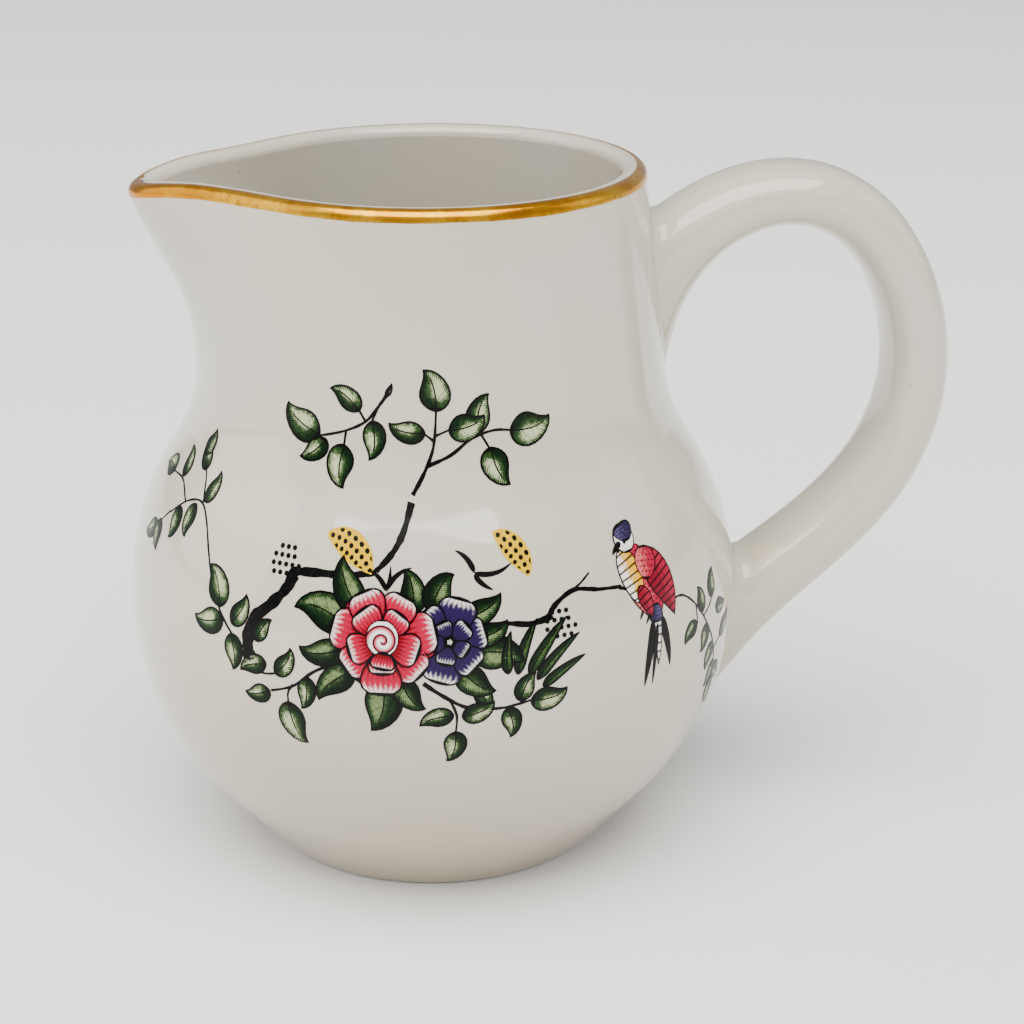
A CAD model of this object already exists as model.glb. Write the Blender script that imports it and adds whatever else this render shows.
from math import atan2, cos, degrees, exp, hypot, pi, radians, sin, sqrt

import bpy
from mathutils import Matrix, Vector


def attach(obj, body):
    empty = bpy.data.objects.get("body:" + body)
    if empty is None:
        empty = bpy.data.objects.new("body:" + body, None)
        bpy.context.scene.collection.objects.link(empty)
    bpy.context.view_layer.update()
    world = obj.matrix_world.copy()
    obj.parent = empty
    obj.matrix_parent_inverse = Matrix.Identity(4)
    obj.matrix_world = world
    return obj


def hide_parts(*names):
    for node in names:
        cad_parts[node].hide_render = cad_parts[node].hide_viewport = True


mm = 0.001
radian = 57.3       # degrees
flatScale = 10      # mm in one unit of a motif's flat UV map
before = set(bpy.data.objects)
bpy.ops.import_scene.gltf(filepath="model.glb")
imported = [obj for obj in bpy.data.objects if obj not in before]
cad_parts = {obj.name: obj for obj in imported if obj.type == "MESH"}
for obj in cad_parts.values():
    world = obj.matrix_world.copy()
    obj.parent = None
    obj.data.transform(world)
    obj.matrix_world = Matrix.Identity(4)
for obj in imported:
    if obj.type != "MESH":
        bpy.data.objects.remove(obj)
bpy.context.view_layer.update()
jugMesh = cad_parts["jug_body"]
bpy.ops.object.select_all(action="DESELECT")
print("frame loaded")


# camera, floor and lights

view = {
    "place": (-0.0261, -0.2989, 0.1561),
    "down": 20.28,      # degrees below level
    "turn": -7.1,       # degrees round from +Y
    "lens": 80.4,
}


def addCamera():
    bpy.ops.object.camera_add(location=view["place"])
    camera = bpy.context.object
    camera.rotation_euler = (radians(90 - view["down"]), 0, radians(view["turn"]))
    camera.data.lens = view["lens"]
    camera.data.sensor_width = 36
    camera.data.clip_start = 0.01
    bpy.context.scene.camera = camera


room = {
    "floor": (0.93, 0.93, 0.925),
    "floorSize": 4,
    "floorRoughness": 0.85,
    "sky": (0.95, 0.97, 1.0),
    "skyStrength": 0.56,
    # place, aim, width, height, watts, colour
    "lights": {
        "ceiling": ((-0.15, -0.6, 1.5), (0, 0, 0), 1.9, 1.5, 60, (1.0, 0.98, 0.94)),
        "frontWall": ((-0.3, -1.8, 1.2), (0, 0, 0.05), 3.2, 1.6, 5, (1.0, 0.98, 0.94)),
        "leftWindow": ((-1.6, 0.15, 0.8), (0, 0, 0.05), 1.5, 1.6, 11, (1.0, 0.99, 0.97)),
        "rightWindow": ((1.6, -0.1, 0.8), (0, 0, 0.05), 0.8, 1.1, 2.5, (0.98, 0.99, 1.0)),
    },
}


def addRoom():
    bpy.ops.mesh.primitive_plane_add(size=room["floorSize"])
    floor = bpy.context.object
    floor.name = "studioFloor"
    card = bpy.data.materials.new("floorPaint")
    card.use_nodes = True
    shader = card.node_tree.nodes["Principled BSDF"]
    shader.inputs["Base Color"].default_value = (*room["floor"], 1)
    shader.inputs["Roughness"].default_value = room["floorRoughness"]
    floor.data.materials.append(card)
    world = bpy.data.worlds.new("softSky")
    bpy.context.scene.world = world
    world.use_nodes = True
    background = world.node_tree.nodes["Background"]
    background.inputs["Color"].default_value = (*room["sky"], 1)
    background.inputs["Strength"].default_value = room["skyStrength"]
    for name, (place, aim, width, height, watts, colour) in room["lights"].items():
        bpy.ops.object.light_add(type="AREA", location=place)
        lamp = bpy.context.object
        lamp.name = name
        lamp.rotation_euler = (Vector(aim) - Vector(place)).to_track_quat("-Z", "Y").to_euler()
        lamp.data.shape = "RECTANGLE"
        lamp.data.size = width
        lamp.data.size_y = height
        lamp.data.energy = watts
        lamp.data.color = colour


addCamera()
addRoom()
print("camera and room ready")


# shader maths

class Wire:
    # a socket that can be added, multiplied and compared like a number
    def __init__(self, tree, socket=None):
        self.tree = tree
        self.socket = socket

    def node(self, kind, settings=None, inputs=None, out=0):
        made = self.tree.nodes.new(kind)
        for key, value in (settings or {}).items():
            setattr(made, key, value)
        for key, value in (inputs or {}).items():
            if isinstance(value, Wire):
                self.tree.links.new(value.socket, made.inputs[key])
            else:
                made.inputs[key].default_value = value
        return Wire(self.tree, made.outputs[out])

    def maths(self, operation, *values):
        return self.node("ShaderNodeMath", {"operation": operation}, dict(enumerate(values)))

    def __add__(self, other):
        return self.maths("ADD", self, other)

    def __sub__(self, other):
        return self.maths("SUBTRACT", self, other)

    def __rsub__(self, other):
        return self.maths("SUBTRACT", other, self)

    def __mul__(self, other):
        return self.maths("MULTIPLY", self, other)

    def __truediv__(self, other):
        return self.maths("DIVIDE", self, other)

    __radd__ = __add__
    __rmul__ = __mul__

    def size(self):
        return self.maths("ABSOLUTE", self)

    def part(self):
        return self.maths("FRACT", self)

    def whole(self):
        return self.maths("FLOOR", self)

    def highest(self, other):
        return self.maths("MAXIMUM", self, other)

    def split(self):
        # the first two parts of a vector
        first = self.node("ShaderNodeSeparateXYZ", None, {0: self})
        return first, Wire(self.tree, first.socket.node.outputs[1])

    def step(self, low, high):
        # 0 below low and 1 above high, smooth between
        return self.node("ShaderNodeMapRange", {"interpolation_type": "SMOOTHSTEP"},
                         {"Value": self, "From Min": low, "From Max": high})

    def wave(self, turns):
        # 0 to 1 and back, that many times as the value goes from 0 to 1
        return self.maths("SINE", self * (2 * pi * turns)) * 0.5 + 0.5


def mixColour(mask, below, above):
    # the colour above shows where the mask is 1
    first = next(value for value in (mask, below, above) if isinstance(value, Wire))
    inputs = {0: mask}
    for socket, colour in ((6, below), (7, above)):
        inputs[socket] = colour if isinstance(colour, Wire) else (*colour, 1)
    return first.node("ShaderNodeMix", {"data_type": "RGBA"}, inputs, out=2)


def newMaterial(name, **fixed):
    material = bpy.data.materials.new(name)
    material.use_nodes = True
    tree = material.node_tree
    shader = tree.nodes["Principled BSDF"]
    for socket, value in fixed.items():
        shader.inputs[socket.replace("_", " ")].default_value = value
    return material, Wire(tree), shader


def feed(shader, socket, wire):
    wire.tree.links.new(wire.socket, shader.inputs[socket])


def noise(start, where, scale, detail=3.0, roughness=0.5, stretch=None):
    if stretch:
        where = start.node("ShaderNodeMapping", None, {"Vector": where, "Scale": stretch})
    return start.node("ShaderNodeTexNoise", None,
                      {"Vector": where, "Scale": scale, "Detail": detail, "Roughness": roughness})


def bump(start, height, strength, distance):
    return start.node("ShaderNodeBump", None,
                      {"Height": height, "Strength": strength, "Distance": distance})


# porcelain and its glaze

glaze = {
    "white": (0.57, 0.515, 0.405),
    "cool": (0.56, 0.525, 0.44),
    "shade": (0.30, 0.235, 0.145),      # thicker glaze, low on the belly
    "biscuit": (0.72, 0.66, 0.57),      # the bare edge that the jug stands on
    "speck": (0.34, 0.25, 0.17),
    "roughness": 0.09,
    "coat": 0.6,
    "coatRoughness": 0.03,
    "bend": 1.5,                # index of refraction
    "cloudScale": 38,
    "shadeTop": 0.042,          # metres up the belly
    "shadeStrength": 0.85,
    "pitScale": 260,
    "pitRarity": (0.66, 0.72),
    "pitSize": (0.05, 0.1),
    "pitStrength": 0.55,
    "scratchScale": 160,
    "scratchStretch": (0.35, 0.35, 2.2),
    "scratchRarity": (0.735, 0.76),
    "scratchStrength": 0.35,
    "bareTop": (0.00035, 0.0009),       # metres, where the glaze starts
    "grainScale": 2500,
    "grainStrength": 0.4,
    "smudge": 0.05,
    "rippleScale": 55,
    "ripple": 0.8,
    "rippleStrength": 0.35,
    "rippleDepth": 0.0004,      # metres
}


def porcelainGlaze(name, slip=0.0):
    material, start, shader = newMaterial(name, Coat_Weight=glaze["coat"], IOR=glaze["bend"],
                                          Coat_Roughness=glaze["coatRoughness"])
    place = start.node("ShaderNodeTexCoord", out=3)
    height = start.node("ShaderNodeSeparateXYZ", None, {0: place}, out=2)
    clouds = noise(start, place, glaze["cloudScale"])
    tone = mixColour(clouds.step(0.35, 0.7), glaze["white"], glaze["cool"])
    low = 1 - height.step(0.0, glaze["shadeTop"])
    tone = mixColour(low * glaze["shadeStrength"], tone, glaze["shade"])

    cells = start.node("ShaderNodeTexVoronoi", None,
                       {"Vector": place, "Scale": glaze["pitScale"], "Randomness": 1.0})
    rare = noise(start, place, 90, 1).step(*glaze["pitRarity"])
    pits = (1 - cells.step(*glaze["pitSize"])) * rare
    tone = mixColour(pits * glaze["pitStrength"], tone, glaze["speck"])

    fine = noise(start, place, glaze["scratchScale"], 2, 0.5, glaze["scratchStretch"])
    patchy = noise(start, place, 45, 1).step(0.6, 0.66)
    scratches = fine.step(*glaze["scratchRarity"]) * patchy
    tone = mixColour(scratches * glaze["scratchStrength"], tone, glaze["speck"])

    bare = 1 - height.step(*glaze["bareTop"])
    grain = noise(start, place, glaze["grainScale"], 2).step(0.4, 0.65)
    biscuit = mixColour(grain * glaze["grainStrength"], glaze["biscuit"], glaze["speck"])
    feed(shader, "Base Color", mixColour(bare, tone, biscuit))

    smudge = noise(start, place, 70, 4) * glaze["smudge"]
    dull = smudge + glaze["roughness"] - glaze["smudge"] / 2
    feed(shader, "Roughness", dull + bare * 0.5 + pits * 0.2)
    feed(shader, "Coat Weight", glaze["coat"] - bare * glaze["coat"])

    ripple = noise(start, place, glaze["rippleScale"], 2) * (glaze["ripple"] + slip)
    relief = ripple + noise(start, place, 420, 2) * 0.05 - pits * 0.25 + grain * bare * 0.4
    feed(shader, "Normal", bump(start, relief, glaze["rippleStrength"], glaze["rippleDepth"]))
    return material


def coat(piece, material):
    piece.data.materials.clear()
    piece.data.materials.append(material)


bodyGlaze = porcelainGlaze("bodyGlaze")
slipGlaze = porcelainGlaze("slipGlaze", 0.5)
for node in ("jug_body", "handle"):
    coat(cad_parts[node], bodyGlaze)
for node in ("upper_handle_joint", "lower_handle_joint"):
    coat(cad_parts[node], slipGlaze)
print("porcelain glazed")


def addGrid(name, columns, rows):
    # columns x rows of points, in rows along +Y
    bpy.ops.object.select_all(action="DESELECT")
    bpy.ops.mesh.primitive_grid_add(x_subdivisions=columns - 1, y_subdivisions=rows - 1, size=2)
    grid = bpy.context.object
    grid.name = name
    return grid


def paint(red, green, blue):
    # a paint's colour on a scale of 0 to 255, as the shader wants it
    return tuple((value / 255) ** 2.2 for value in (red, green, blue))


# gold line round the rim

gold = {
    "levelHeight": 94.6,
    "rimRadius": 28.9,
    "crownRound": 1.3,
    "lipReach": 10.8,
    "lipDrop": 1.9,
    "lipHalfAngle": 0.35,
    "lipSharpness": 1.8,
    "columns": 481,
    "rows": 12,
    "topAngle": 95,       # where the gold starts on the crown, degrees up from the wall
    "tipAngle": 165,      # the same at the tip of the lip
    "tipWidth": 0.075,    # radians round from the tip
    "topWaver": 3,        # degrees
    "lowWaver": 0.07,
    "crowdLip": 0.7,      # how much closer the columns are at the lip
    "belowCrown": 0.2,
    "lift": 0.035,
    "thick": 0.05,
    "colour": paint(196, 126, 16),
    "dark": paint(136, 78, 6),
    "bright": paint(232, 178, 44),
}


def rimPoint(turned):
    fall = (abs(turned) / gold["lipHalfAngle"]) ** gold["lipSharpness"]
    radius = gold["rimRadius"] + gold["lipReach"] * exp(-fall)
    return Vector((-radius * cos(turned), radius * sin(turned), 0))


def rimHeight(x):
    out = max(0.0, -x - gold["rimRadius"])
    dip = (gold["lipReach"] ** 2 + gold["lipDrop"] ** 2) / (2 * gold["lipDrop"])
    return gold["levelHeight"] - dip + sqrt(dip ** 2 - out ** 2)


def goldEdge(turned):
    # a brush never keeps quite the same width
    return 0.5 * sin(5 * turned + 0.6) + 0.3 * sin(13 * turned + 2) + 0.2 * sin(31 * turned)


def addGoldLine():
    strip = addGrid("goldRimLine", gold["columns"], gold["rows"])
    crownRadius = gold["crownRound"]
    for point in strip.data.vertices:
        column = round((point.co.x + 1) / 2 * (gold["columns"] - 1))
        row = (point.co.y + 1) / 2
        even = 2 * pi * column / (gold["columns"] - 1) - pi
        turned = even - gold["crowdLip"] * sin(even)
        wall = rimPoint(turned)
        tangent = (rimPoint(turned + 0.001) - rimPoint(turned - 0.001)).normalized()
        outward = Vector((-tangent.y, tangent.x, 0))
        outward *= 1 if outward.dot(wall) > 0 else -1
        tip = exp(-((turned / gold["tipWidth"]) ** 2))
        further = (gold["tipAngle"] - gold["topAngle"]) * tip
        top = radians(gold["topAngle"] + gold["topWaver"] * goldEdge(turned) + further)
        low = gold["belowCrown"] + gold["lowWaver"] * goldEdge(turned * 1.7 + 1)
        run = crownRadius * top + low
        along = row * run
        crown = rimHeight(wall.x) - crownRadius
        if along < low:
            place = wall + Vector((0, 0, crown - low + along))
        else:
            angle = (along - low) / crownRadius
            up = Vector((0, 0, crown + crownRadius * sin(angle)))
            place = wall - outward * crownRadius * (1 - cos(angle)) + up
        hit, near, normal, face = jugMesh.closest_point_on_mesh(place * mm)
        point.co = near + normal * gold["lift"] * mm
    finishThin(strip, gold["thick"], True)
    coat(strip, goldLustre())
    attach(strip, "root")
    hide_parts("gilt_rim_band")


def finishThin(piece, thick, ring=False):
    # closes a ring's seam, gives the skin its thickness and smooths it
    bpy.ops.object.select_all(action="DESELECT")
    piece.select_set(True)
    bpy.context.view_layer.objects.active = piece
    if ring:
        bpy.ops.object.mode_set(mode="EDIT")
        bpy.ops.mesh.select_all(action="SELECT")
        bpy.ops.mesh.remove_doubles(threshold=0.01 * mm)
        bpy.ops.object.mode_set(mode="OBJECT")
    outward = sum(1 if face.normal.dot(Vector((face.center.x, face.center.y, 0))) > 0 else -1
                  for face in piece.data.polygons)
    if outward < 0:
        piece.data.flip_normals()
    skin = piece.modifiers.new("skin", "SOLIDIFY")
    skin.thickness = thick * mm
    skin.offset = -1
    bpy.ops.object.modifier_apply(modifier="skin")
    bpy.ops.object.shade_smooth_by_angle(angle=radians(50))


def goldLustre():
    material, start, shader = newMaterial("goldLustre", Metallic=1.0)
    place = start.node("ShaderNodeTexCoord", out=3)
    wear = noise(start, place, 180, 4, 0.6)
    fine = noise(start, place, 1400, 2)
    tone = mixColour(wear.step(0.35, 0.75), gold["colour"], gold["bright"])
    tone = mixColour((fine * wear).step(0.30, 0.42) * 0.5, tone, gold["dark"])
    feed(shader, "Base Color", tone)
    feed(shader, "Roughness", wear * 0.22 + fine * 0.1 + 0.08)
    feed(shader, "Normal", bump(start, wear + fine * 0.4, 0.25, 0.0001))
    return material


addGoldLine()
print("gold line laid")


# overglaze enamels, drawn as thin blades that lie on the glaze

enamel = {
    "lift": 0.045,
    "layer": 0.006,
    "thick": 0.09,
    "roughness": 0.24,
    "shine": 0.12,
    "grainScale": 2200,
    "outline": 0.3,
    "brushWaver": (0.13, 0.08),
    "ink": paint(9, 8, 9),
    "inkWorn": paint(28, 24, 24),
    # light, middle and dark of each green
    "leaf": (paint(176, 184, 142), paint(42, 66, 34), paint(14, 30, 15)),
    "darkLeaf": (paint(112, 130, 86), paint(26, 48, 23), paint(9, 22, 11)),
    "grass": (paint(84, 108, 58), paint(34, 60, 26), paint(14, 32, 13)),
    "white": paint(238, 232, 228),
    "peonyPink": paint(170, 20, 56),
    "peonyRed": paint(104, 3, 18),
    "peonyDark": paint(110, 16, 34),
    "purple": paint(40, 26, 66),
    "purpleDark": paint(36, 26, 58),
    "yellow": paint(216, 176, 0),
    "yellowDark": paint(198, 150, 0),
    "birdRed": paint(156, 26, 54),
    "birdPink": paint(206, 96, 96),
    "wingRed": paint(118, 14, 36),
    "cream": paint(226, 168, 30),
    "cap": paint(40, 34, 62),
    "capLight": paint(70, 62, 98),
    "cheekShade": paint(222, 216, 214),
    "tailShade": paint(210, 206, 204),
}


def onGlaze(turn, height, lift):
    # the point of the glaze at so many degrees from -Y towards the handle, in mm
    outward = Vector((sin(radians(turn)), -cos(radians(turn)), 0))
    start = outward * 90 * mm + Vector((0, 0, height * mm))
    hit, place, normal, face = jugMesh.ray_cast(start, -outward)
    return place + normal * lift * mm


def glazeRadius(turn, height):
    place = onGlaze(turn, height, 0)
    return hypot(place.x, place.y) / mm


# widths of the motifs from foot to tip, as shares of the widest

def leafWidth(along):
    return 2.85 * along ** 0.62 * (1 - along) ** 1.02


def petalWidth(along):
    return 1.3 * along ** 0.45 * (1 - along ** 4) ** 0.5


def discWidth(along):
    return 2 * sqrt(max(0.0, along * (1 - along)))


def grassWidth(along):
    return (0.35 + along) ** 0.5 * (1 - along) ** 0.75 * 1.35 * min(1, 6 * along) ** 0.5


def podWidth(along):
    return sin(pi * along) ** 0.75


def eggWidth(along):
    return 2.05 * along ** 0.62 * (1 - along) ** 0.5


# width, rows and columns
shapes = {
    "leaf": (leafWidth, 13, 7), "petal": (petalWidth, 12, 9), "disc": (discWidth, 13, 7),
    "grass": (grassWidth, 14, 5), "pod": (podWidth, 14, 7), "egg": (eggWidth, 14, 9),
    "dot": (discWidth, 7, 3),
}


def addBlade(shape, material, turn, height, heading, long, wide, bend=0, curl=0, layer=0):
    # a flat shape that starts at a point and runs that way, in mm and degrees
    profile, rows, columns = shapes[shape]
    radius = glazeRadius(turn, height)
    blade = addGrid(shape, columns, rows)
    spine = [(0.0, 0.0, heading - bend / 2)]
    steps = 40
    stride = long / steps
    for step in range(steps):
        x, y, way = spine[-1]
        share = (step + 0.5) / steps
        way = heading + bend * (share - 0.5) + curl * share ** 4
        spine.append((x + cos(radians(way)) * stride, y + sin(radians(way)) * stride, way))
    layBlade(blade, spine, profile, wide, turn, height, radius, layer, long)
    blade.data.materials.append(material)
    return blade


def layBlade(blade, spine, profile, wide, turn, height, radius, layer, long):
    # bends a grid along its spine and lays it on the glaze
    drawn = blade.data.uv_layers.active
    drawn.name = "drawn"
    flat = blade.data.uv_layers.new(name="flat")
    rim = blade.data.attributes.new("rim", "FLOAT", "POINT")
    lift = enamel["lift"] + layer * enamel["layer"]
    marks = []
    for point in blade.data.vertices:
        across = point.co.x
        along = 0.5 - 0.5 * cos(pi * (point.co.y + 1) / 2)
        place = along * (len(spine) - 1)
        index = min(int(place), len(spine) - 2)
        share = place - index
        x = spine[index][0] * (1 - share) + spine[index + 1][0] * share
        y = spine[index][1] * (1 - share) + spine[index + 1][1] * share
        way = radians(spine[index + 1][2])
        half = max(profile(along), 0.004) * wide / 2
        x -= sin(way) * across * half
        y += cos(way) * across * half
        marks.append((across, along, across * half, along * long))
        ends = min(along, 1 - along) * long / 2
        rim.data[point.index].value = min(half * (1 - abs(across)), max(ends, 0.0))
        point.co = onGlaze(turn + x / radius * radian, height + y, lift)
    for corner in blade.data.loops:
        across, along, x, y = marks[corner.vertex_index]
        drawn.data[corner.index].uv = (across, along)
        flat.data[corner.index].uv = (x / flatScale, y / flatScale)


def addStroke(material, points, start, end, layer=0):
    # a brush stroke through points of turn and height, from one width to another
    turn, height = points[0]
    radius = glazeRadius(turn, height)
    track = [((t - turn) / radian * radius, h - height) for t, h in points]
    between = 6     # points added between two of the track, on a smooth curve
    spine = []
    for index in range(len(track) - 1):
        before = track[max(index - 1, 0)]
        here, there = track[index], track[index + 1]
        after = track[min(index + 2, len(track) - 1)]
        for step in range(between):
            s = step / between
            spine.append(tuple(0.5 * (2 * b + (c - a) * s + (2 * a - 5 * b + 4 * c - d) * s ** 2
                                      + (3 * b - a - 3 * c + d) * s ** 3)
                               for a, b, c, d in zip(before, here, there, after)))
    spine.append(track[-1])
    ways = []
    for index in range(len(spine)):
        first, last = spine[max(index - 1, 0)], spine[min(index + 1, len(spine) - 1)]
        ways.append(degrees(atan2(last[1] - first[1], last[0] - first[0])))
    long = sum(hypot(b[0] - a[0], b[1] - a[1]) for a, b in zip(spine, spine[1:]))
    stroke = addGrid("stroke", 3, between * len(track) + 1)
    spine = [(x, y, way) for (x, y), way in zip(spine, ways)]

    def taper(along):
        slow, quick = enamel["brushWaver"]
        run = along * long
        waver = 1 + slow * sin(run * 2.1 + turn) + quick * sin(run * 5.3)
        return (start + (end - start) * along) * waver

    layBlade(stroke, spine, taper, 1.0, turn, height, radius, layer, long)
    stroke.data.materials.append(material)
    return stroke


def drawnPlace(start):
    # across from -1 to 1, along from 0 to 1, both in mm, and mm in from the rim
    across, along = start.node("ShaderNodeUVMap", {"uv_map": "drawn"}).split()
    x, y = start.node("ShaderNodeUVMap", {"uv_map": "flat"}).split()
    rim = start.node("ShaderNodeAttribute", {"attribute_name": "rim"}, out=2)
    return across, along, x * flatScale, y * flatScale, rim


def firedEnamel(name):
    material, start, shader = newMaterial(name, Roughness=enamel["roughness"],
                                          Specular_IOR_Level=enamel["shine"])
    place = start.node("ShaderNodeTexCoord", out=3)
    grain = noise(start, place, enamel["grainScale"], 2)
    feed(shader, "Normal", bump(start, grain, 0.18, 0.00005))
    return material, start, shader, grain


def inkEnamel():
    material, start, shader, grain = firedEnamel("inkEnamel")
    feed(shader, "Base Color", mixColour(grain.step(0.45, 0.8), enamel["ink"], enamel["inkWorn"]))
    return material


def leafEnamel(name, greens, darkness=0.06):
    # hatched from light to dark, with a midrib, veins and an outline in ink
    material, start, shader, grain = firedEnamel(name)
    across, along, x, y, rim = drawnPlace(start)
    light, middle, dark = greens
    side = across.size()
    hatch = (y * 3.4 - x.size() * 2.2).wave(1) + (y * 2.4 + x * 3.2).wave(1)
    darkHalf = across.step(-0.35, 0.5) * 0.5
    darkRim = (1 - rim.step(0.3, 1.15)) * 0.38
    darkFoot = (1 - along.step(0.0, 0.4)) * 0.32
    paleRib = (1 - side.step(0.1, 0.35)) * 0.05
    shade = darkness + darkHalf + darkRim + darkFoot
    pattern = shade + (hatch - 1) * 0.17 + (grain - 0.5) * 0.5 - paleRib
    tone = mixColour(pattern.step(0.16, 0.46), light, middle)
    tone = mixColour(pattern.step(0.5, 0.85), tone, dark)
    veinLine = 1 - (y * 0.5 - x.size() * 0.42).wave(1).step(0.0, 0.025)
    vein = veinLine * side.step(0.05, 0.12) * 0.5
    midrib = (1 - x.size().step(0.07, 0.13)) * (1 - along.step(0.72, 0.82))
    outline = 1 - rim.step(enamel["outline"] * 0.75, enamel["outline"] * 1.15)
    lines = vein.highest(midrib).highest(outline)
    feed(shader, "Base Color", mixColour(lines, tone, enamel["ink"]))
    return material


def petalEnamel(name, base, deep, edge, paleFrom):
    # deep at the foot, streaked, pale along the tip and outlined in ink
    material, start, shader, grain = firedEnamel(name)
    across, along, x, y, rim = drawnPlace(start)
    streaks = (across * 4 + grain * 0.6).wave(1.0)
    pale = along + (streaks - 0.5) * 0.16 + (grain - 0.5) * 0.3 + (1 - rim.step(0.2, 0.9)) * 0.1
    tone = mixColour(pale.step(paleFrom - 0.12, paleFrom + 0.3), base, edge)
    foot = 1 - (along + (streaks - 0.5) * 0.2).step(0.25, 0.6)
    tone = mixColour(foot, tone, deep)
    outline = 1 - rim.step(0.19, 0.29)
    feed(shader, "Base Color", mixColour(outline, tone, enamel["ink"]))
    return material


heartHeight = 1.9       # mm from the foot of the peony's heart to its middle


def cupEnamel():
    # folded petals in the heart of the peony, as one spiral
    material, start, shader, grain = firedEnamel("peonyHeart")
    across, along, x, y, rim = drawnPlace(start)
    back = y - heartHeight
    squares = x * x + back * back
    out = squares.maths("SQRT", squares)
    ring = (out * 0.95 + back.maths("ARCTAN2", back, x) / (2 * pi)).part()
    tone = mixColour(ring.step(0.35, 0.95), enamel["white"], enamel["peonyPink"])
    line = (1 - ring.step(0.1, 0.2)).highest(ring.step(0.94, 0.99))
    outline = 1 - rim.step(0.1, 0.18)
    feed(shader, "Base Color", mixColour(line.highest(outline), tone, enamel["ink"]))
    return material


def podEnamel():
    material, start, shader, grain = firedEnamel("podEnamel")
    across, along, x, y, rim = drawnPlace(start)
    # rows of dots, a little under 1 mm apart
    row = (x * 1.05 + 0.5).part() - 0.5
    seed = (y * 1.05).part() - 0.5
    dot = 1 - (row * row + seed * seed).step(0.08, 0.12)
    tone = mixColour(grain.step(0.4, 0.75), enamel["yellow"], enamel["yellowDark"])
    feed(shader, "Base Color", mixColour(dot * rim.step(0.1, 0.2), tone, enamel["ink"]))
    return material


def featherEnamel(name, colour, pale, rows, barred=False):
    # ink bars across the feathers, or a scale in each of the staggered rows, rows to a mm
    material, start, shader, grain = firedEnamel(name)
    across, along, x, y, rim = drawnPlace(start)
    patches = ((grain - 0.5) * 1.2 + across * 0.5 + 0.4).step(0.25, 0.75)
    tone = mixColour(patches, colour, pale)
    if barred:
        mark = 1 - (y * rows).wave(1).step(0.12, 0.25)
    else:
        row = (y * rows).part() - 0.5
        scale = (x * rows + (y * rows).whole() * 0.5).part() - 0.5
        mark = 1 - (row * row * 3 + scale * scale * 0.8).step(0.03, 0.07)
    outline = 1 - rim.step(0.14, 0.22)
    lines = (mark * 0.9).highest(outline)
    feed(shader, "Base Color", mixColour(lines, tone, enamel["ink"]))
    return material


paints = {
    "ink": inkEnamel(),
    "leaf": leafEnamel("leafEnamel", enamel["leaf"]),
    "darkLeaf": leafEnamel("darkLeafEnamel", enamel["darkLeaf"], 0.2),
    "grass": leafEnamel("grassEnamel", enamel["grass"]),
    "peony": petalEnamel("peonyPetal", enamel["peonyPink"], enamel["peonyRed"],
                         enamel["white"], 0.82),
    "deepPeony": petalEnamel("deepPeonyPetal", enamel["peonyRed"], enamel["peonyDark"],
                             enamel["peonyPink"], 0.75),
    "purple": petalEnamel("purplePetal", enamel["purple"], enamel["purpleDark"],
                          enamel["white"], 0.8),
    "heart": cupEnamel(),
    "pod": podEnamel(),
    "birdRed": featherEnamel("birdBack", enamel["birdRed"], enamel["birdPink"], 1.5),
    "birdWing": featherEnamel("birdWing", enamel["wingRed"], enamel["birdRed"], 1.1, True),
    "breast": featherEnamel("birdBreast", enamel["cream"], enamel["white"], 1.0, True),
    "cap": featherEnamel("birdCap", enamel["cap"], enamel["capLight"], 2.2),
    "cheek": featherEnamel("birdCheek", enamel["white"], enamel["cheekShade"], 2.6),
    "barred": featherEnamel("barredFeather", enamel["white"], enamel["tailShade"], 0.9, True),
}
print("enamels mixed")


def finishMotif(name, shapesMade, node):
    # joins the shapes into one piece that takes the node's place
    bpy.ops.object.select_all(action="DESELECT")
    for shape in shapesMade:
        shape.select_set(True)
    bpy.context.view_layer.objects.active = shapesMade[0]
    bpy.ops.object.join()
    motif = bpy.context.object
    motif.name = name
    finishThin(motif, enamel["thick"])
    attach(motif, "root")
    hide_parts(node)
    print(name, "drawn with", len(shapesMade), "shapes")


def drawLeaves(leaves, paintName="leaf", layer=2):
    # neighbours lie in three layers in turn, and a leaf curls on at its tip
    return [addBlade("leaf", paints[paintName], *leaf, leaf[-1] * 1.6, layer + index % 3)
            for index, leaf in enumerate(leaves)]


def drawStrokes(strokes, layer=1):
    return [addStroke(paints["ink"], points, start, end, layer) for points, start, end in strokes]


def drawDots(dots, size):
    return [addBlade("dot", paints["ink"], turn, height - size / 2, 90, size, size)
            for turn, height in dots]


def drawFlower(centre, petals, turned, inner, long, wide, paintName, layer):
    # petals round a centre, each from a little way out
    turn, height = centre
    out = inner / glazeRadius(turn, height) * radian
    made = []
    for petal in range(petals):
        heading = turned + 360 * petal / petals
        way = radians(heading)
        size = 1 + 0.09 * sin(2.4 * petal + layer)
        made.append(addBlade("petal", paints[paintName], turn + cos(way) * out,
                             height + sin(way) * inner, heading, (long - inner) * size,
                             wide * size, 6 * sin(3 * petal), 0, layer + petal % 3))
    return made


# the flower spray: a branch, a peony and a darker blossom among leaves

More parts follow.
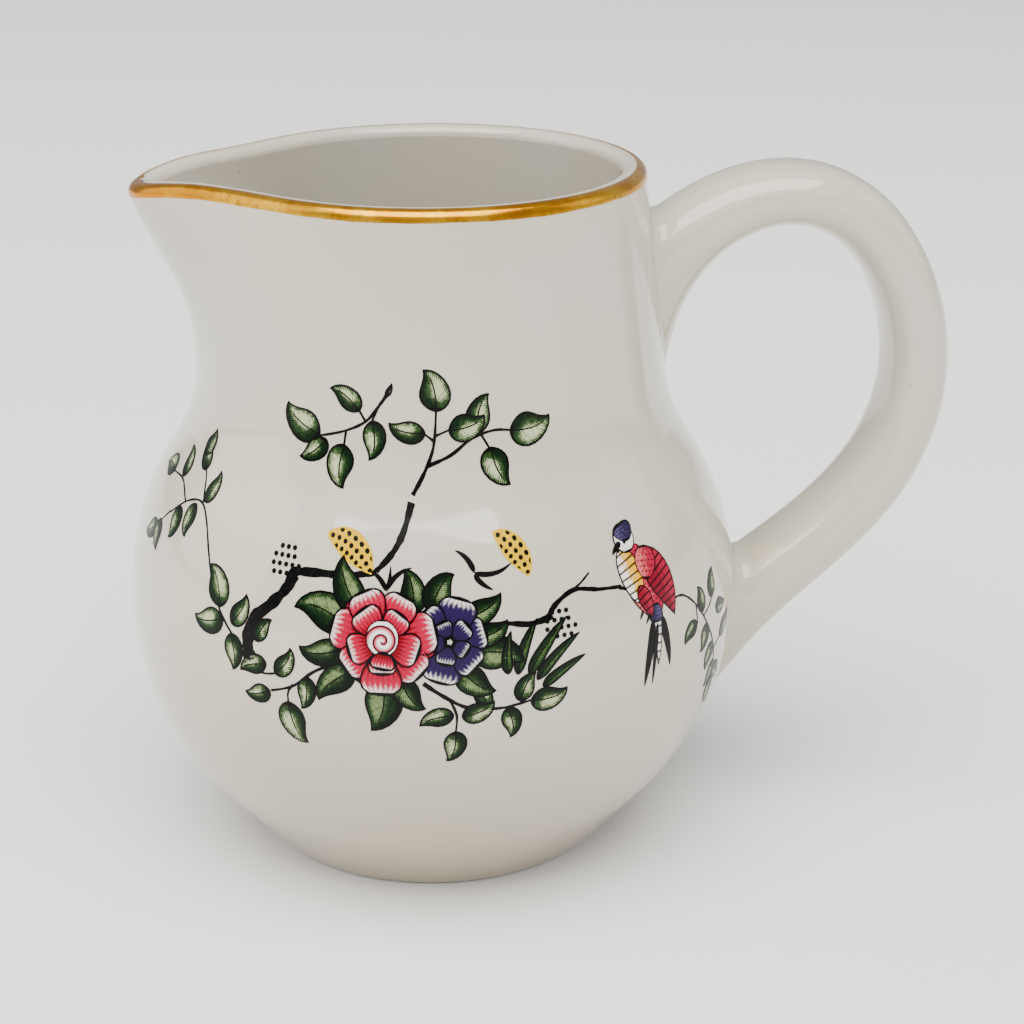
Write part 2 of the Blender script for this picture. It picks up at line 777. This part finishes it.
spray = {
    "peony": (-14.0, 43.4),
    "blossom": (-2.4, 43.4),
    # flower, petals, turned, inner, length, width, paint, layer
    "rounds": [
        ("blossom", 6, 14, 1.2, 5.2, 4.9, "purple", 5),
        ("blossom", 5, 40, 0.3, 3.0, 2.7, "purple", 8),
        ("peony", 3, 244, 1.4, 6.6, 5.0, "deepPeony", 11),
        ("peony", 7, 12, 1.6, 6.6, 5.2, "peony", 14),
        ("peony", 5, 55, 0.9, 4.6, 4.2, "peony", 17),
    ],
    # turns and heights from foot to tip, and the widths at both
    "branches": [
        ([(-38.5, 38.4), (-39.4, 41), (-38.4, 44), (-35, 46.4), (-32.4, 48.6), (-31.6, 50.4),
          (-27, 50.8), (-21, 50.9), (-15.5, 51.5)], 2.0, 0.7),
        ([(-31.4, 50.2), (-31.9, 49.2), (-32.6, 48)], 1.5, 1.3),
        ([(-15.6, 51.6), (-12.8, 53.6), (-10.8, 56), (-9.4, 59.2)], 0.7, 0.95),
        ([(2.0, 44.4), (7, 45.2), (12, 44.8), (16.2, 45.4)], 0.5, 0.85),
        ([(15.2, 45.3), (17.2, 46.8), (21, 48), (26, 47.4), (31, 47)], 0.75, 0.4),
        ([(19.6, 47.6), (22.4, 48.6), (24.6, 49.6)], 0.4, 0.18),
    ],
    "twigs": [
        ([(-21, 40.6), (-26, 38.8), (-30, 36.4), (-34.4, 35.2)], 0.5, 0.3),
        ([(-30, 36.6), (-31, 35.4), (-31, 34)], 0.35, 0.25),
        ([(-38.4, 39.2), (-36.5, 37.4), (-33.6, 37.6)], 0.4, 0.25),
        ([(-7, 38.2), (-3.5, 36.4), (0.5, 34.8), (6, 34.4), (11.5, 35)], 0.6, 0.3),
        ([(-2.6, 36), (-1.4, 33.8), (-1.6, 31.4)], 0.4, 0.25),
        ([(-42.5, 41), (-46, 43.5), (-49, 46.6), (-52, 50)], 0.35, 0.3),
    ],
    # turn, height, heading, length, width, bend, here and in all that follow
    "darkLeaves": [
        (-19.5, 44.6, 158, 8.6, 5.0, 30), (-17.6, 46.6, 122, 7.6, 4.2, -24),
        (-20.5, 42.4, 194, 6.6, 3.8, -30), (-18.5, 39.6, 216, 7.0, 4.0, 24),
        (-13.6, 38.6, 262, 7.6, 5.2, -22), (-11, 39, 300, 5.6, 3.6, 26),
        (-8.6, 46.8, 98, 5.6, 3.6, 24), (-5.6, 47.0, 62, 5.6, 3.8, -26),
        (-0.6, 46, 22, 6.4, 3.4, 22), (1.0, 41.8, -6, 7.4, 4.8, -26),
        (-1, 40.2, -42, 6.0, 4.0, 22), (1.6, 43.6, 18, 5.2, 3.2, 24),
    ],
    "leaves": [
        (-35.2, 38.6, 196, 4.6, 2.9, 20), (-34.6, 35.2, 200, 4.2, 2.8, -24),
        (-31, 34.2, 286, 6.4, 4.0, 26), (-27.6, 38.0, 268, 4.8, 2.8, -24),
        (-33.6, 37.6, 52, 4.6, 2.8, 30), (-37.6, 41.2, 62, 4.0, 2.4, -22),
        (-1.8, 33.8, 192, 4.8, 2.8, 22), (-1.6, 31.6, 262, 4.8, 3.2, -24),
        (-0.6, 33.6, 18, 4.8, 3.0, 24), (7.2, 34.4, 284, 4.6, 2.9, -26),
        (11.4, 35.0, 4, 5.4, 3.5, 26), (9.6, 35.0, 66, 4.4, 2.8, -22),
        (4, 34.6, 118, 4.2, 2.5, 22), (-46.2, 44.2, 118, 6.0, 3.9, 24),
        (-45.4, 43, 196, 5.6, 3.7, -26), (-43.4, 42.6, 58, 4.8, 3.0, 24),
        (-43.4, 41.4, 284, 5.0, 3.2, -22),
    ],
    # blades of grass, from one root
    "grass": [
        (7.6, 38.8, 84, 5.6, 1.9, -34), (9.2, 38.6, 66, 7.6, 2.0, -30),
        (11.2, 38.4, 50, 8.8, 2.1, -22), (12.6, 37.6, 40, 8.2, 1.9, -26),
        (13.6, 36.6, 28, 7.0, 1.8, -20),
    ],
    "pods": [(-16.4, 51.2, 148, 8.0, 3.5, 58), (12.6, 50.4, 128, 7.0, 3.2, 58)],
    "podLeaves": [
        (-13.6, 49.4, 138, 3.6, 0.75, 60), (-13.6, 49.4, 40, 4.4, 0.8, -60),
        (-13.6, 49.4, 82, 3.0, 0.6, 30), (2.4, 51.4, 132, 3.6, 0.85, 60),
        (2.4, 51.4, 10, 5.2, 0.75, 60), (2.4, 51.2, -40, 3.0, 0.8, 40),
    ],
    "berries": [(-33.6, 51.8), (17.4, 44.4)],
    "berryRows": (4, 5, 4, 3),
    "berryStep": 1.35,      # degrees from dot to dot
    "berrySize": 0.62,
}


def drawBerries(centre):
    # a small heap of dots
    turn, height = centre
    dots = []
    for row, count in enumerate(spray["berryRows"]):
        for place in range(count):
            beside = (place - (count - 1) / 2) * spray["berryStep"]
            dots.append((turn + beside + 0.3 * sin(row * 2.2), height + row - 1.6))
    return drawDots(dots, spray["berrySize"])


def drawSpray():
    made = drawStrokes(spray["twigs"], 0) + drawStrokes(spray["branches"], 1)
    made += drawLeaves(spray["leaves"], "leaf", 1)
    made += drawLeaves(spray["darkLeaves"], "darkLeaf", 2)
    for blade in spray["grass"]:
        made.append(addBlade("grass", paints["grass"], *blade, 0, 1 + len(made) % 3))
    for flower, *petalRound in spray["rounds"]:
        made += drawFlower(spray[flower], *petalRound)
    turn, height = spray["peony"]
    made.append(addBlade("disc", paints["heart"], turn, height - heartHeight,
                         90, 4.6, 4.2, layer=20))
    made.append(addBlade("petal", paints["peony"], turn + 0.4, height - 1.2,
                         262, 2.5, 3.4, layer=21))
    for pod in spray["pods"]:
        made.append(addBlade("pod", paints["pod"], *pod, 0, 3))
    for blade in spray["podLeaves"]:
        made.append(addBlade("grass", paints["ink"], *blade, 0, 4))
    for centre in spray["berries"]:
        made += drawBerries(centre)
    finishMotif("flowerSpray", made, "flower_spray_transfer")


# the bird on the end of the branch

bird = {
    # shape, paint, turn, height, heading, length, width, bend, layer
    "shapes": [
        ("grass", "ink", 38.0, 42.0, 256, 9.4, 1.7, 10, 1),
        ("grass", "ink", 39.2, 42.0, 282, 7.8, 1.6, -14, 2),
        ("grass", "barred", 38.6, 42.4, 268, 7.2, 1.7, 0, 3),
        ("grass", "ink", 38.4, 41.0, 262, 8.2, 0.9, 8, 4),
        ("egg", "birdRed", 38.9, 41.6, 112, 10.6, 6.6, 14, 5),
        ("egg", "breast", 34.8, 44.2, 104, 7.4, 3.9, 12, 6),
        ("petal", "cap", 38.6, 43.6, 262, 2.6, 2.6, 0, 7),
        ("leaf", "birdWing", 37.6, 50.6, 292, 10.4, 4.6, -22, 8),
        ("leaf", "birdWing", 34.9, 46.4, 290, 5.0, 2.4, -16, 9),
        ("egg", "birdRed", 37.2, 46.8, 80, 4.2, 4.0, 10, 10),
        ("disc", "cheek", 34.4, 50.6, 96, 3.6, 3.5, 0, 11),
        ("petal", "cap", 34.6, 51.9, 100, 2.3, 3.5, 20, 12),
        ("grass", "ink", 33.0, 52.0, 214, 2.0, 0.9, 20, 12),
        ("dot", "ink", 34.0, 51.7, 90, 0.55, 0.55, 0, 13),
        ("grass", "ink", 35.6, 43.6, 236, 1.8, 0.5, 0, 3),
        ("grass", "ink", 37.0, 42.8, 236, 1.8, 0.5, 0, 3),
    ],
    "perch": [([(30.4, 46.9), (34, 46.2), (38, 45.6)], 0.45, 0.35)],
}


def drawBird():
    made = drawStrokes(bird["perch"], 0)
    for shape, paintName, *place, layer in bird["shapes"]:
        made.append(addBlade(shape, paints[paintName], *place, 0, layer))
    finishMotif("branchBird", made, "bird_transfer")


# the four small sprigs

sprigs = {
    "upper_left_sprig_transfer": {
        "twigs": [
            ([(-14, 73), (-17, 70.6), (-20, 68.6), (-25, 67.2), (-31.5, 66.2)], 0.45, 0.3),
            ([(-20, 68.6), (-21.6, 70)], 0.35, 0.25), ([(-24.6, 67.2), (-25, 65)], 0.3, 0.25),
            ([(-16.6, 71), (-18.6, 68.6)], 0.35, 0.25),
        ],
        "leaves": [
            (-30.8, 66.4, 152, 6.4, 4.4, -26), (-21.4, 69.8, 140, 5.0, 3.0, 24),
            (-24.8, 65.6, 266, 5.6, 3.8, 26), (-29.2, 66, 222, 4.6, 2.9, -22),
            (-18.6, 68.8, 274, 5.2, 3.2, -24), (-15.4, 71.8, 64, 2.0, 0.9, 10),
        ],
    },
    "upper_right_sprig_transfer": {
        "twigs": [
            ([(-9.2, 60), (-6.4, 63), (-4.6, 66), (-4, 70.4)], 0.6, 0.3),
            ([(-6, 63.4), (-1, 64.6), (4, 66.6), (9, 67.4), (13, 67.2)], 0.5, 0.3),
            ([(-4.6, 66.4), (-7.4, 67.6)], 0.35, 0.25), ([(-4.4, 67), (-1, 67.8)], 0.35, 0.25),
            ([(6, 67), (8, 65)], 0.3, 0.25),
        ],
        "leaves": [
            (-4, 70, 100, 5.8, 4.2, 24), (-6.4, 67.4, 172, 5.0, 3.1, -24),
            (-1.4, 67.7, 14, 5.2, 3.8, 26), (5, 67, 78, 5.6, 3.4, -24),
            (8, 65.4, 288, 5.4, 3.8, 22), (12.6, 67.2, 6, 6.0, 4.6, 26),
        ],
    },
    "left_sprig_transfer": {
        "twigs": [
            ([(-51.6, 49.6), (-55, 53), (-59, 55), (-64, 54.4), (-69, 52)], 0.3, 0.25),
            ([(-58.6, 55), (-62, 58), (-66, 60)], 0.28, 0.2),
            ([(-65, 54.2), (-70, 56), (-76, 56)], 0.28, 0.2),
            ([(-69, 52.2), (-73, 49.6)], 0.25, 0.2),
        ],
        "leaves": [
            (-58.6, 55.2, 70, 4.2, 2.6, 24), (-62.5, 58.4, 120, 4.4, 2.7, -24),
            (-66, 60, 60, 4.0, 2.4, 22), (-60.5, 54.6, 262, 4.4, 2.7, 24),
            (-66, 53.4, 272, 4.4, 2.8, -24), (-70.6, 56.2, 104, 4.2, 2.6, 22),
            (-76, 56, 176, 4.6, 2.9, 20), (-73, 49.8, 214, 4.4, 2.8, -22),
            (-72, 50.6, 282, 4.2, 2.6, 20),
        ],
    },
    "right_sprig_transfer": {
        "twigs": [
            ([(42, 42.8), (46, 43), (50, 41), (54, 37.4), (58, 32.6), (59.6, 27.4)], 0.32, 0.24),
            ([(53, 38.4), (56, 39.4), (59, 41.6)], 0.26, 0.2),
            ([(50.4, 40.6), (50.6, 38)], 0.26, 0.2), ([(58, 32.4), (62, 33.6)], 0.26, 0.2),
        ],
        "leaves": [
            (52.4, 39, 92, 4.0, 2.5, 22), (57, 40, 76, 4.2, 2.6, -22),
            (50.4, 38.2, 206, 4.0, 2.5, 24), (54, 37.2, 252, 4.2, 2.7, -22),
            (57.4, 33.6, 236, 4.2, 2.7, 22), (61, 33.6, 28, 4.6, 2.8, 24),
            (58.8, 30.6, 246, 4.2, 2.6, -20), (59.8, 29.6, 316, 4.2, 2.6, 22),
            (59.4, 27.6, 280, 4.6, 2.8, 20), (58.6, 38.4, 348, 4.0, 2.5, 20),
        ],
    },
}


def drawSprigs():
    for node, parts in sprigs.items():
        made = drawStrokes(parts["twigs"], 0) + drawLeaves(parts["leaves"])
        words = node.replace("_transfer", "").split("_")
        finishMotif(words[0] + "".join(word.title() for word in words[1:]), made, node)


drawSpray()
drawBird()
drawSprigs()
